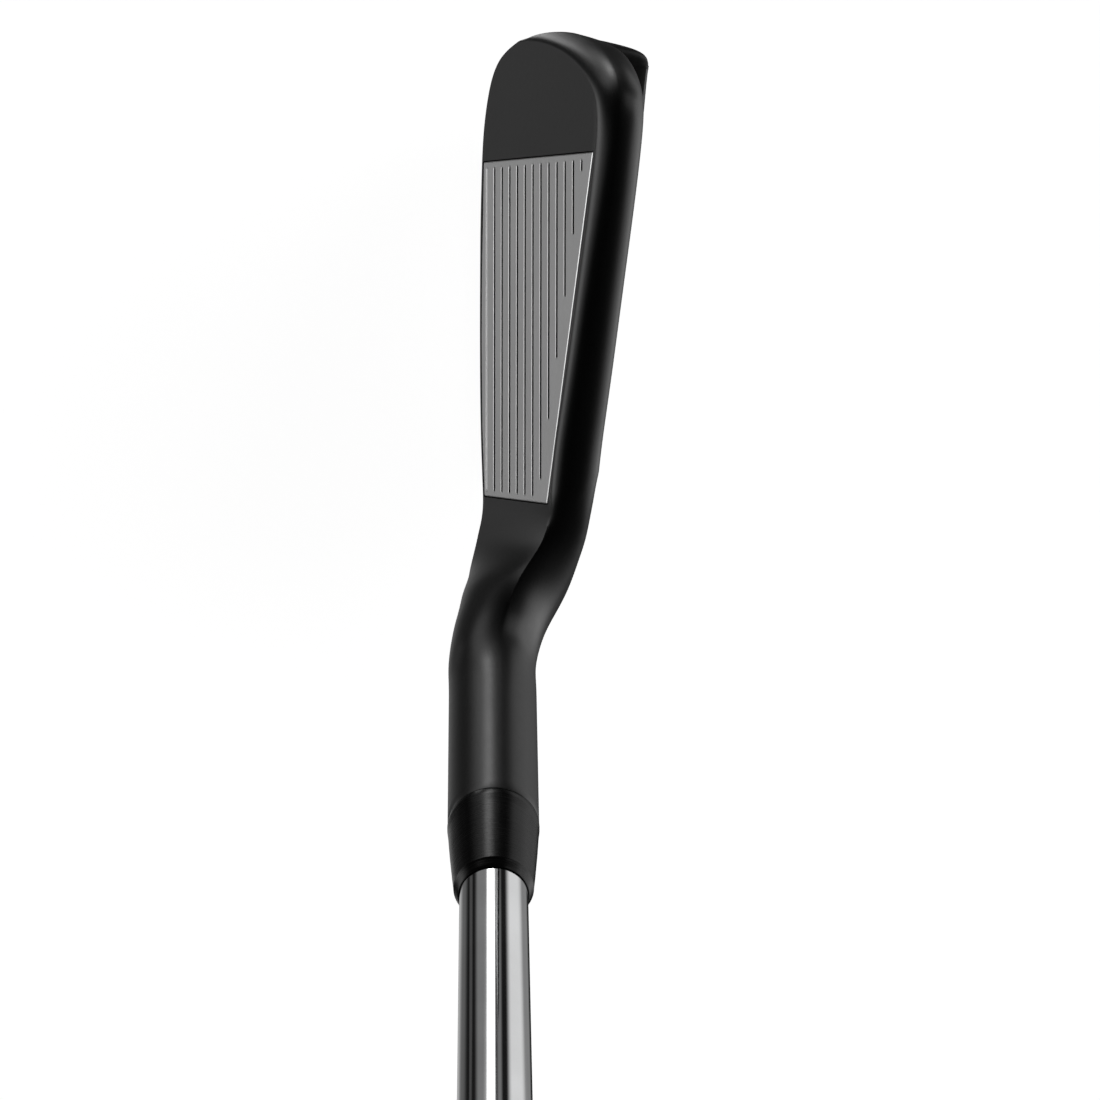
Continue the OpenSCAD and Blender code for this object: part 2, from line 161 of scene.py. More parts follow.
def inset(outline, distance, corner=0.0, steps=6):
    """A convex outline moved inwards by distance, with rounded corners."""
    pts = np.asarray(outline, float)
    n = len(pts)
    area = 0.5 * sum(pts[i - 1][0] * pts[i][1] - pts[i][0] * pts[i - 1][1] for i in range(n))
    if area < 0:
        pts = pts[::-1]
    moved = []
    for i in range(n):
        d0 = pts[i] - pts[i - 1]
        d1 = pts[(i + 1) % n] - pts[i]
        d0, d1 = d0 / np.linalg.norm(d0), d1 / np.linalg.norm(d1)
        n0, n1 = np.array([-d0[1], d0[0]]), np.array([-d1[1], d1[0]])
        moved.append(pts[i] + (n0 + n1) * distance / (1 + n0 @ n1))
    moved = np.array(moved)
    if corner <= 0:
        return moved
    out = []
    for i in range(n):
        p, a, b = moved[i], moved[i - 1] - moved[i], moved[(i + 1) % n] - moved[i]
        la, lb = np.linalg.norm(a), np.linalg.norm(b)
        half = math.acos(max(-1, min(1, a @ b / la / lb))) / 2
        reach = min(corner / math.tan(half), 0.45 * la, 0.45 * lb)
        for t in np.linspace(0, 1, steps):
            start, stop = p + a / la * reach, p + b / lb * reach
            out.append((1 - t) ** 2 * start + 2 * t * (1 - t) * p + t * t * stop)
    return np.array(out)


def stacked(loops, heights, origin, x_axis, y_axis, z_axis):
    """A closed solid through outlines of equal point count at given heights, capped at both ends."""
    return capped([origin + loop[:, :1] * x_axis + loop[:, 1:] * y_axis + h * z_axis
                   for loop, h in zip(loops, heights)])


# ------------------------------------------------------------------ head surface
# [topline x, topline z, leading edge x, leading edge z, trailing edge y, crown of the top rim,
#  camber of the sole, roundness, half width, centre y, lean, how far the leading edge moves forward]
BLADE = [
    [-82.4, 19.5, -82.4, 19.5, 24.3, 2.6, 2.6, 0.00, 6.7, 0.0, 0.0, 0.0],
    [-82.4, 23.8, -81.5, 15.1, 24.5, 3.2, 2.5, 0.00, 6.7, 0.0, 0.0, 0.0],
    [-81.75, 30.4, -80.1, 11.1, 24.4, 2.7, 2.45, 0.00, 6.7, 0.0, 0.0, 0.0],
    [-80.4, 37.0, -77.5, 8.0, 24.2, 2.5, 2.4, 0.00, 6.7, 0.0, 0.0, 0.0],
    [-78.8, 42.1, -73.7, 5.9, 23.9, 2.6, 2.6, 0.00, 6.7, 0.0, 0.0, 0.0],
    [-75.4, 49.1, -69.7, 4.5, 23.5, 2.8, 3.0, 0.00, 6.7, 0.0, 0.0, 0.0],
    [-71.5, 52.7, -65.5, 3.8, 22.9, 3.1, 3.2, 0.00, 6.7, 0.0, 0.0, 0.0],
    [-65.3, 51.8, -60.5, 3.4, 22.2, 3.1, 3.4, 0.00, 6.7, 0.0, 0.0, 0.0],
    [-56.8, 49.1, -54.0, 3.0, 21.5, 2.9, 3.4, 0.00, 6.7, 0.0, 0.0, 0.0],
    [-48.0, 45.8, -47.0, 2.9, 20.6, 2.8, 3.4, 0.00, 6.7, 0.0, 0.0, 0.0],
    [-39.0, 42.5, -39.0, 2.8, 19.5, 2.8, 3.4, 0.00, 6.7, 0.0, 0.0, 0.0],
    [-30.0, 39.2, -30.0, 2.9, 18.4, 2.8, 3.4, 0.00, 6.7, 0.0, 0.0, 0.0],
    [-22.0, 35.7, -21.5, 3.2, 17.2, 2.8, 3.4, 0.00, 7.5, 6.5, 4.0, 0.0],
    [-15.5, 33.9, -14.0, 4.0, 15.9, 2.7, 3.5, 0.25, 9.2, 7.4, 5.8, 0.0],
    [-10.5, 33.1, -6.5, 4.9, 14.8, 2.5, 2.8, 0.55, 8.8, 5.5, 2.5, 0.5],
    [-6.3, 30.1, 0.5, 5.6, 15.3, 2.2, 2.0, 0.70, 8.5, 5.0, 1.5, 2.8],
    [-2.6, 29.1, 6.8, 7.2, 13.8, 1.6, 1.2, 0.83, 8.1, 3.8, -0.2, 10.7],
    [0.9, 28.3, 12.0, 10.4, 9.6, 0.9, 0.7, 0.93, 7.4, 1.6, 0.4, 10.8],
    [4.8, 28.7, 15.6, 14.6, 7.9, 0.6, 0.4, 1.00, 6.9, 0.5, 0.3, 12.4]]
HOSEL_R = 6.71
HOSEL_TOP = 69.0
BORE_R = 5.02
BORE_FLOOR = 38.0
NECK_END = 38.0


def neck_row(s_toe, s_heel, fillet, centre):
    """A round station across the shaft axis; fillet raises its toe side into the crotch."""
    c, n = math.cos(LIE), math.sin(LIE)
    r = HOSEL_R + fillet
    return [s_toe * c - r * n, s_toe * n + r * c, s_heel * c + HOSEL_R * n, s_heel * n - HOSEL_R * c,
            7, 0.3, 0.3, 1, HOSEL_R, centre, 0, 13.8]


STATIONS = np.array(BLADE + [neck_row(30.7, 27, 1.22, -0.2), neck_row(34.5, 32, 0.16, 0),
                             neck_row(NECK_END, NECK_END, 0, 0)])
LAST = len(STATIONS) - 1
HELD = np.vstack([2 * STATIONS[0] - STATIONS[1], STATIONS, 2 * STATIONS[-1] - STATIONS[-2]])


def row(u):
    """Uniform cubic B-spline through the stations."""
    i = min(int(u), LAST - 1)
    f = u - i
    a, b, c, d = HELD[i:i + 4]
    return ((1 - f) ** 3 * a + (3 * f ** 3 - 6 * f * f + 4) * b
            + (-3 * f ** 3 + 3 * f * f + 3 * f + 1) * c + f ** 3 * d) / 6


def smooth(f):
    f = np.clip(f, 0, 1)
    return f * f * (3 - 2 * f)


def face_at(z):
    return FACE_ORIGIN[1] + (z - FACE_ORIGIN[2]) * math.tan(LOFT)


WALL_RAKE, WALL_SWEEP = 0.181, 0.052


def upper_y(x, z):
    """The upper rear wall leans back with height and comes forward towards the golfer."""
    return 21.65 + WALL_RAKE * (z - 50) - WALL_SWEEP * (x + 65.6)


LEDGE_HI, LEDGE_LO = 23.0, 21.0


def back_y(x, z, rear):
    up = np.minimum(upper_y(x, z), rear)
    low = rear - 0.03 * (z - 6)
    return low + (up - low) * smooth((z - LEDGE_LO + 0.3) / (LEDGE_HI - LEDGE_LO + 0.6))


RIM_POWER = 2.2


def rim(angle, depth, crown, lift, square, crease):
    """Depth and height of a rim; crease breaks its front edge, square makes its rear half boxier."""
    c = np.cos(angle)
    power = 2 / np.where(c > 0, RIM_POWER - crease, RIM_POWER + square)
    d = depth * (1 - np.sign(c) * np.abs(c) ** power) / 2
    return d, crown * np.maximum(np.sin(angle), 0) ** power + lift * d / depth


def edge_normal(a, b, col, side):
    d = b[col:col + 2] - a[col:col + 2]
    return side * np.array([-d[1], d[0]]) / np.linalg.norm(d)


def tip_normal(normal, u):
    """The rims of both edges point straight at the toe where the sections start."""
    n = np.array([-1.0, 0.0]) + (normal - np.array([-1.0, 0.0])) * float(smooth(u / 0.6))
    return n / np.linalg.norm(n)


FACE_N, RIM_N, UPPER_N, LEDGE_N, WALL_N = 36, 26, 12, 10, 14
FLAT_TO, ROUND_FROM = -6.0, 12.0


def section(u):
    """One closed section of the head: face, top rim, back, sole rim."""
    r = row(u)
    a, b = row(max(u - 0.01, 0)), row(min(u + 0.01, LAST))
    top, low, rear = r[0:2], r[2:4], r[4]
    top_n = tip_normal(edge_normal(a, b, 0, 1), u)
    low_n = tip_normal(edge_normal(a, b, 2, -1), u)
    t_lift = -(0.9 + 3.4 * max(0, 1 - u / 8) ** 2)
    l_lift = -(4.3 * max(0, 1 - u / 4) ** 2 + 1.6 * min(1, u / 4))
    square = 2.6 * max(0, 1 - u / 6) ** 2
    crease = 0.7 * float(smooth((11 - u) / 6))
    turn = float(smooth((u - 13.15) / 1.5))
    top_end, low_end = top + t_lift * top_n, low + l_lift * low_n
    top_depth = float(back_y(top_end[0], top_end[1], rear)) - face_at(top[1])
    low_depth = float(back_y(low_end[0], low_end[1], rear)) - face_at(low[1])
    parts = []

    f = np.arange(FACE_N) / FACE_N
    p = low + (top - low) * f[:, None]
    parts.append((np.c_[p[:, 0], face_at(p[:, 1]), p[:, 1]], -62 + 162 * f, f, np.full(FACE_N, turn)))

    t = np.arange(RIM_N) / RIM_N
    d, out = rim(math.pi * t, top_depth, r[5], t_lift, square, crease)
    p = top + out[:, None] * top_n
    parts.append((np.c_[p[:, 0], face_at(top[1]) + d, p[:, 1]], 100 + 68 * t, np.ones(RIM_N),
                  turn + (1 - turn) * t))

    hi, lo = min(LEDGE_HI, top_end[1]), min(LEDGE_LO, top_end[1])
    z = np.concatenate([top_end[1] + (hi - top_end[1]) * np.arange(UPPER_N) / UPPER_N,
                        hi + (lo - hi) * np.arange(LEDGE_N) / LEDGE_N,
                        lo + (low_end[1] - lo) * np.arange(WALL_N) / WALL_N])
    share = np.concatenate([0.3 * np.arange(UPPER_N) / UPPER_N, 0.3 + 0.3 * np.arange(LEDGE_N) / LEDGE_N,
                            0.6 + 0.4 * np.arange(WALL_N) / WALL_N])
    drop = top_end[1] - low_end[1]
    g = (top_end[1] - z) / drop if drop > 0.01 else np.linspace(0, 1, len(z), endpoint=False)
    x = top_end[0] + (low_end[0] - top_end[0]) * g
    parts.append((np.c_[x, back_y(x, z, rear), z], 168 + 64 * share, 1 - g, np.ones(len(z))))

    d, out = rim(math.pi * (1 - t), low_depth, r[6], l_lift, square, crease)
    p = low + out[:, None] * low_n
    parts.append((np.c_[p[:, 0], face_at(low[1]) + d, p[:, 1]], 232 + 66 * t, np.zeros(RIM_N),
                  1 + (turn - 1) * t))

    sharp, angle, height, turned_by = (np.concatenate([q[k] for q in parts]) for k in range(4))
    half = np.linalg.norm(top - low) / 2
    up = (top - low) / (2 * half) if half else np.array([0.0, 1.0])
    mid = (top + low) / 2
    sn, cs = np.sin(np.radians(angle)), np.cos(np.radians(angle))
    level = mid + up * (half * sn)[:, None]
    round_p = np.c_[level[:, 0], r[9] + r[10] * sn - r[8] * cs, level[:, 1]]
    w = turned_by * smooth(1.35 * r[7] - 0.35 * height)
    pts = sharp + (round_p - sharp) * w[:, None]

    # the neck's front stays flat between the topline's edge and a leading edge that moves forward
    low_edge, top_edge = pts[0].copy(), pts[FACE_N]
    low_edge[1] = face_at(low[1]) - r[11] * float(smooth((u - 13.15) / 1.0))
    front = low_edge + (top_edge - low_edge) * f[:, None]
    front += (pts[:FACE_N] - front) * smooth((front[:, 0] - FLAT_TO) / (ROUND_FROM - FLAT_TO))[:, None]
    moved = front[0] - pts[0]
    pts[:FACE_N] = front
    pts[-RIM_N:] += moved * (t ** 2)[:, None]
    return pts, angle


def head_mesh():
    """The head's outer skin with the hosel and its bore in one closed mesh."""
    steps = np.concatenate([7 * (np.arange(64) / 64) ** 1.4, np.linspace(7, 12, 26, endpoint=False),
                            np.linspace(12, LAST, 150)])
    rings, angle = [], None
    for u in steps:
        pts, angle = section(float(u))
        rings.append(pts)
    rad = np.radians(angle)
    across = np.array([-math.sin(LIE), 0, math.cos(LIE)])
    top = [(NECK_END + (HOSEL_TOP - 0.25 - NECK_END) * k / 16, HOSEL_R) for k in range(1, 17)]
    top += [(HOSEL_TOP - 0.08, HOSEL_R - 0.06), (HOSEL_TOP, HOSEL_R - 0.22), (HOSEL_TOP, BORE_R + 0.3),
            (HOSEL_TOP - 0.3, BORE_R), (BORE_FLOOR, BORE_R)]
    for s, radius in top:
        rings.append(s * AXIS + radius * (np.sin(rad)[:, None] * across - np.cos(rad)[:, None] * SIDE))
    verts = np.concatenate(rings)
    n = len(rings[0])
    faces = grid_faces(len(rings), n)
    last = (len(rings) - 1) * n
    faces.append(tuple(range(last, last + n)))
    return verts, faces


# ------------------------------------------------------------------ face plate outline
HIT_TOE = -64.6
HIT = [(HIT_TOE, -1.7), (-48, -2.6), (-36.5, -2.8), (-23, -2.4), (-11.7, -1.3),
       (-11.7, 27.8), (HIT_TOE, 47.6)]
PLATE_T = 2.4
LINE_PITCH, LINE_COUNT, LINE_W, LINE_DEPTH = 3.56, 13, 0.7, 0.35
LINE_TOE, LINE_HEEL = -63.5, -12.7
LINE_TOP, LINE_SLOPE = 43.8, -0.384
PAINT_GAP = 0.03
X_AXIS = np.array([1.0, 0.0, 0.0])


def line_end(s):
    """Where a score line stops on the topline side: the upper lines end along a slope."""
    return min(LINE_HEEL, HIT_TOE + (s - LINE_TOP) / LINE_SLOPE)


def on_face(x, s, out):
    """Points in the face frame: x along the score lines, s up the face, out of the face."""
    x, s, out = np.broadcast_arrays(np.asarray(x, float), s, out)
    return FACE_ORIGIN + x[..., None] * X_AXIS + s[..., None] * FACE_UP + out[..., None] * FACE_OUT


# ------------------------------------------------------------------ rear wall frame
RECESS = 1.25
BADGE = [(-20, -8), (30, -8), (31.5, -2), (30, 9), (26, 14.6), (-20, -1.4)]
WALL_ORIGIN = np.array([-40, upper_y(-40, 33), 33.0])
sweep = Matrix.Rotation(-math.atan(WALL_SWEEP), 3, "Z")
rake = Matrix.Rotation(math.radians(90) + math.atan(WALL_RAKE), 3, "X")
flip = Matrix.Rotation(math.pi, 3, "Z")
WALL = sweep @ flip @ rake
WALL_X, WALL_Y, WALL_OUT = (np.array(WALL.col[k]) for k in range(3))


def build_head(material):
    verts, faces = head_mesh()
    head = make_piece("head", verts, faces, material, weld=0.002)
    # window for the face plate
    window = inset(HIT, -0.07, 0.25, 4)
    cut(head, prism("c1", window, -PLATE_T - 0.02, 3, FACE_ORIGIN, X_AXIS, FACE_UP, FACE_OUT))
    # the hollow behind it
    z = np.array([0.0, 0.0, 1.0])
    front = PLATE_T / math.cos(LOFT)
    hollow = prism("c2", [(-68, 4.8), (-14, 5.2), (-14, 29), (-62, 46.6), (-68, 46.6)], -20, 40,
                   np.zeros(3), X_AXIS, z, SIDE)
    side = prism("c3", [(face_at(4) + front, 4), (face_at(50) + front, 50), (40, 50), (40, 4)], -90, 0,
                 np.zeros(3), SIDE, z, X_AXIS)
    plan = prism("c4", [(-69, -5), (-12, -5), (-12, 13.8), (-30, 16.5), (-69, 20.9)], -5, 65,
                 np.zeros(3), X_AXIS, SIDE, z)
    boolean(hollow, side, "INTERSECT")
    boolean(hollow, plan, "INTERSECT")
    keep = prism("c5", [(-40, -13), (40, -13), (40, 47), (-40, 47)], -RECESS - 1.4, 28,
                 WALL_ORIGIN, WALL_X, WALL_Y, WALL_OUT)
    cut(hollow, keep)
    cut(head, hollow)
    # recess for the badge
    cut(head, prism("c6", BADGE, -RECESS, 3, WALL_ORIGIN, WALL_X, WALL_Y, WALL_OUT))
    # toe port
    verts, faces = polar([(SCREW_FACE - 6, circle(PORT_R)), (PORT_END, circle(PORT_R))])
    cut(head, make_piece("c7", verts, faces, None))
    shade(head, 32)
    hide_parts("head_body")
    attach(head, "root")
    return head


PORT_Y, PORT_Z, PORT_R, PORT_END, SCREW_FACE, SCREW_T = 13.2, 15.2, 3.6, -71.0, -81.7, 2.6


def polar(levels, segments=96):
    """A closed solid along the toe port's axis: levels are (x, radius function of the angle)."""
    a = np.linspace(0, 2 * math.pi, segments, endpoint=False)
    return capped([np.c_[np.full(segments, x), PORT_Y + f(a) * np.cos(a), PORT_Z + f(a) * np.sin(a)]
                   for x, f in levels])


def circle(r):
    return lambda a: np.full(len(a), r)


def hexagon(r, corner=0.12):
    """A hexagon of corner radius r, its corners eased."""
    def radius(a):
        b = (a % (math.pi / 3)) - math.pi / 6
        flat = r * math.cos(math.pi / 6) / np.cos(b)
        return flat - corner * np.maximum(0, (np.abs(b) / (math.pi / 6)) ** 8)
    return radius


def build_screw(material):
    r = PORT_R - 0.03
    levels = [(SCREW_FACE + SCREW_T, circle(r)), (SCREW_FACE + 0.3, circle(r)),
              (SCREW_FACE + 0.12, circle(r - 0.07)), (SCREW_FACE + 0.02, circle(r - 0.22)),
              (SCREW_FACE, circle(r - 0.4)), (SCREW_FACE, circle(2.35)), (SCREW_FACE + 0.03, circle(2.2)),
              (SCREW_FACE + 0.16, hexagon(1.98)), (SCREW_FACE + 0.3, hexagon(1.9)),
              (SCREW_FACE + 1.5, hexagon(1.88)), (SCREW_FACE + 1.75, circle(1.1))]
    verts, faces = polar(levels)
    return make_piece("toe_port_screw", verts, faces, material, "toe_screw", ["toe_screw"], sharp=28)


def bar(x0, x1, s, profile, corner):
    """A bar along the face with round ends: profile is a list of (half width, height out of the face)."""
    half = LINE_W / 2 - PAINT_GAP
    a, b = np.radians(np.linspace(90, 270, corner)), np.radians(np.linspace(-90, 90, corner))
    rings = []
    for spread, out in profile:
        x = np.concatenate([x0 + half + spread * np.cos(a), x1 - half + spread * np.cos(b)])
        rings.append(on_face(x, s + spread * np.sin(np.concatenate([a, b])), out))
    return capped(rings)


def groove(x0, x1, s):
    """A bar whose subtraction leaves a score line with worn lips and a rounded floor."""
    half = LINE_W / 2 - PAINT_GAP
    lip = [(0.15, 0.4), (0.15, 0.005), (0.12, -0.006), (0.08, -0.026), (0.045, -0.048), (0.02, -0.07),
           (0.006, -0.1), (0, -0.14)]
    floor = 0.16
    profile = [(half + wide, out) for wide, out in lip]
    profile += [(half - floor + floor * math.cos(t), -LINE_DEPTH + floor - floor * math.sin(t))
                for t in np.radians([0, 25, 50, 90])]
    return bar(x0, x1, s, profile, 10)


def build_plate(material):
    loops = [inset(HIT, d, 0.2, 4) for d in (0.03, 0.03, 0.05, 0.10, 0.17, 0.24, 0.27)]
    heights = [-PLATE_T, -0.19, -0.135, -0.09, -0.05, -0.012, 0.0]
    verts, faces = stacked(loops, heights, FACE_ORIGIN, X_AXIS, FACE_UP, FACE_OUT)
    plate = make_piece("scored_face", verts, faces, material)
    bars, bar_faces = [], []
    for k in range(LINE_COUNT):
        s = k * LINE_PITCH
        verts, faces = groove(LINE_TOE, line_end(s), s)
        base = k * len(verts)
        bars.append(verts)
        bar_faces += [tuple(i + base for i in f) for f in faces]
    cut(plate, make_piece("c8", np.concatenate(bars), bar_faces, None))
    shade(plate, 24)
    mark_flat_border(plate)
    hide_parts("face_plate")
    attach(plate, "root")
    return plate


def mark_flat_border(obj):
    """Keeps the flat face shaded flat right up to the rounded lips, and marks its lips and edges."""
    mesh = obj.data
    bm = bmesh.new()
    bm.from_mesh(mesh)
    out = Vector(FACE_OUT)
    for e in bm.edges:
        flats = [f.normal.dot(out) > 0.9999 for f in e.link_faces]
        if len(flats) == 2 and flats[0] != flats[1]:
            e.smooth = False
    bm.to_mesh(mesh)
    bm.free()


def build_line_paint(material):
    half = LINE_W / 2 - PAINT_GAP
    profile = [(half - 0.16, -0.33), (half - 0.02, -0.2), (half, -0.14), (half + 0.02, -0.06),
               (half - 0.06, -0.03), (half - 0.18, -0.022)]
    verts, faces = bar(LINE_TOE + 0.05, line_end(0) - 0.05, 0, profile, 9)
    return make_piece("lowest_line_paint", verts, faces, material, "line_fill", ["line_fill"], sharp=50)


def build_badge(material):
    loops, heights = [], []
    for d, h in [(0.06, -0.98), (0.06, -0.42), (0.12, -0.24), (0.26, -0.13), (0.45, -0.1), (1.25, -0.1),
                 (1.4, -0.14), (1.5, -0.26), (1.6, -0.3)]:
        loops.append(inset(BADGE, d, 1.0, 8))
        heights.append(h)
    verts, faces = stacked(loops, heights, WALL_ORIGIN, WALL_X, WALL_Y, WALL_OUT)
    return make_piece("cavity_badge", verts, faces, material, "rear_badge", ["rear_badge"], sharp=26)


# ------------------------------------------------------------------ shaft, ferrule, grip
SHAFT_START, FIRST_STEP, STEPS, PITCH = BORE_FLOOR + 0.5, 250.0, 12, 41.0
CLUB, BUTT = 1003.0, 1000.0
GRIP_S, CAP_S = CLUB - 267, CLUB - 6


def plain_r(s):
    return 4.77 + (5.5 - 4.77) * (s - SHAFT_START) / (FIRST_STEP - SHAFT_START)


def step_r(k):
    return (11 + (15.24 - 11) * k / STEPS) / 2


def build_shaft(material):
    outer = [(SHAFT_START, 4.6), (SHAFT_START + 0.2, 4.77)]
    outer += [(s, plain_r(s)) for s in np.linspace(SHAFT_START + 2, FIRST_STEP - 0.6, 40)]
    for k in range(1, STEPS + 1):
        s0 = FIRST_STEP + (k - 1) * PITCH
        r0, r1 = step_r(k - 1), step_r(k)
        outer += [(s0 + 2.5 * t, r0 + (r1 - r0) * float(smooth(t))) for t in np.linspace(0, 1, 9)]
        end = BUTT if k == STEPS else s0 + PITCH
        outer += [(s, r1) for s in np.linspace(s0 + 4, end - 0.5, 6)]
    inner = [(s, r - 0.5) for s, r in outer[::-1] if s > SHAFT_START + 1 and s < BUTT - 1]
    profile = outer + [(BUTT, 7.5), (BUTT, 7.2)] + inner + [(SHAFT_START, 4.35)]
    verts, faces = turned(profile, 128)
    return make_piece("stepped_shaft", verts, faces, material, "shaft", ["shaft"], sharp=30)


def build_ferrule(material):
    """Each profile point is the distance above the hosel and the radius."""
    foot = [(0.02, plain_r(HOSEL_TOP) + 0.03), (0.02, 6.62), (0.1, 6.69), (0.3, 6.71), (0.8, 6.75),
            (1.4, 6.74)]
    barrel = [foot[-1], (2.6, 6.63), (7.0, 6.39), (12.0, 6.05), (15.2, 5.8)]
    mouth = [(15.36, 5.8), (15.46, 5.77), (15.55, 5.71), (15.75, 5.62), (16.2, 5.44), (16.6, 5.27),
             (16.85, 5.15), (16.96, 5.07), (16.99, 5.01), (16.93, 4.965), (16.7, 4.955)]
    up = np.linspace(barrel[0][0], barrel[-1][0], 180)
    r = np.interp(up, *zip(*barrel))
    kernel = np.exp(-np.linspace(-2, 2, 15) ** 2)
    r = np.convolve(np.pad(r, 7, mode="edge"), kernel / kernel.sum(), "valid")
    # fine turning marks
    rng = np.random.default_rng(7)
    marks = np.convolve(rng.normal(0, 1, len(up) + 4), np.ones(3) / 3, "valid")[:len(up)]
    r = r + 0.0022 * marks - 0.002
    profile = [(HOSEL_TOP + d, radius) for d, radius in foot + list(zip(up[1:], r[1:])) + mouth]
    verts, faces = turned(profile, 160)
    return make_piece("tapered_ferrule", verts, faces, material, "ferrule", ["ferrule"], sharp=40)


def build_band(material):
    s0 = FIRST_STEP + 6 * PITCH + 6
    r = step_r(7)
    profile = [(s0, r + 0.006), (s0, r + 0.05), (s0 + 0.15, r + 0.078)]
    profile += [(s, r + 0.08) for s in np.linspace(s0 + 1, s0 + 27, 14)]
    profile += [(s0 + 27.85, r + 0.078), (s0 + 28, r + 0.05), (s0 + 28, r + 0.006)]
    verts, faces = turned(profile, 96)
    return make_piece("shaft_film_band", verts, faces, material, "shaft_band", ["shaft_band"], sharp=40)


def grip_radius(s):
    """Radius of the grip's plain outer surface at a distance along the axis."""
    return float(np.interp(s, [GRIP_S, GRIP_S + 0.6, GRIP_S + 5, GRIP_S + 8, GRIP_S + 110, CAP_S - 25, CAP_S],
                           [8.6, 9.0, 9.25, 9.0, 10.76, 13.2, 13.9]))


GRIP_BORE = 7.84


def build_grip(material):
    """Moulded pips between two families of diagonal grooves, plain bands and a ribbed mouth."""
    seg, around, lead = 256, 20, 7.2
    s_list = np.concatenate([[GRIP_S, GRIP_S + 0.25], np.linspace(GRIP_S + 0.6, GRIP_S + 14, 40),
                             np.linspace(GRIP_S + 14.5, CAP_S - 9, 470),
                             np.linspace(CAP_S - 8.5, CAP_S - 0.05, 24)])
    angle = np.linspace(0, 2 * math.pi, seg, endpoint=False)
    # a plain strip with no pattern runs along the underside
    strip = smooth((np.abs((angle % (2 * math.pi)) - math.pi) - 0.30) / 0.06)
    turns = around * angle / (2 * math.pi)
    rings = []
    for s in s_list:
        r = np.full(seg, grip_radius(s) - 0.04)
        t = s - GRIP_S
        # the pattern stops at the mouth, at a plain band near t = 122 and below the cap
        field = smooth((t - 15) / 1.5) * smooth((CAP_S - 14 - s) / 1.5)
        field *= 1 - smooth((t - 118) / 0.8) * smooth((126 - t) / 0.8)
        if field > 0:
            a = np.abs(((turns + t / lead) % 1) - 0.5) * 2
            b = np.abs(((turns - t / lead) % 1) - 0.5) * 2
            trench = np.maximum(smooth((a - 0.72) / 0.2), smooth((b - 0.72) / 0.2))
            dimple = smooth((0.34 - np.hypot(a, b)) / 0.18)
            r = r - 0.42 * field * trench * strip - 0.16 * field * strip * dimple
        if 1 < t < 13:
            r = r - 0.22 * smooth(1 - abs(((t / 2.4) % 1) - 0.5) / 0.28) * smooth((t - 1) / 1.5)
        r = r - 0.25 * math.exp(-((t - 122) / 1.4) ** 2)
        rings.append(on_shaft(s, r, angle))
    rings[0] = on_shaft(GRIP_S, 8.5, angle)
    rings += [on_shaft(s, GRIP_BORE, angle) for s in (CAP_S - 0.05, GRIP_S)]
    verts, faces = joined_ends(rings)
    return make_piece("patterned_grip", verts, faces, material, "grip", ["grip"], sharp=42)


def build_cap(material):
    rim = 14.7
    loop = [(BUTT + 0.1, 1.62), (BUTT + 0.1, GRIP_BORE), (CAP_S + 0.02, GRIP_BORE), (CAP_S + 0.02, 13.86),
            (CAP_S + 0.5, 14.1), (CAP_S + 1.3, rim - 0.35), (CAP_S + 2.0, rim - 0.08), (CAP_S + 2.7, rim),
            (CAP_S + 3.5, rim - 0.08), (CAP_S + 4.2, rim - 0.35), (CAP_S + 4.8, rim - 0.9),
            (CAP_S + 5.3, rim - 1.7), (CAP_S + 5.7, rim - 2.8), (CAP_S + 5.95, rim - 4.1), (CLUB, rim - 5.0),
            (CLUB, 7.9), (CLUB - 0.12, 7.75), (CLUB - 0.45, 7.6), (CLUB - 0.5, 7.3), (CLUB - 0.45, 7.0),
            (CLUB - 0.12, 6.85), (CLUB, 6.7), (CLUB, 3.1), (CLUB - 0.1, 2.95), (CLUB - 0.18, 2.7),
            (CLUB - 0.2, 2.0), (CLUB - 0.3, 1.7), (CLUB - 0.55, 1.62)]
    verts, faces = turned(loop, 128)
    return make_piece("moulded_grip_cap", verts, faces, material, "grip_cap", ["grip_cap"], sharp=40)


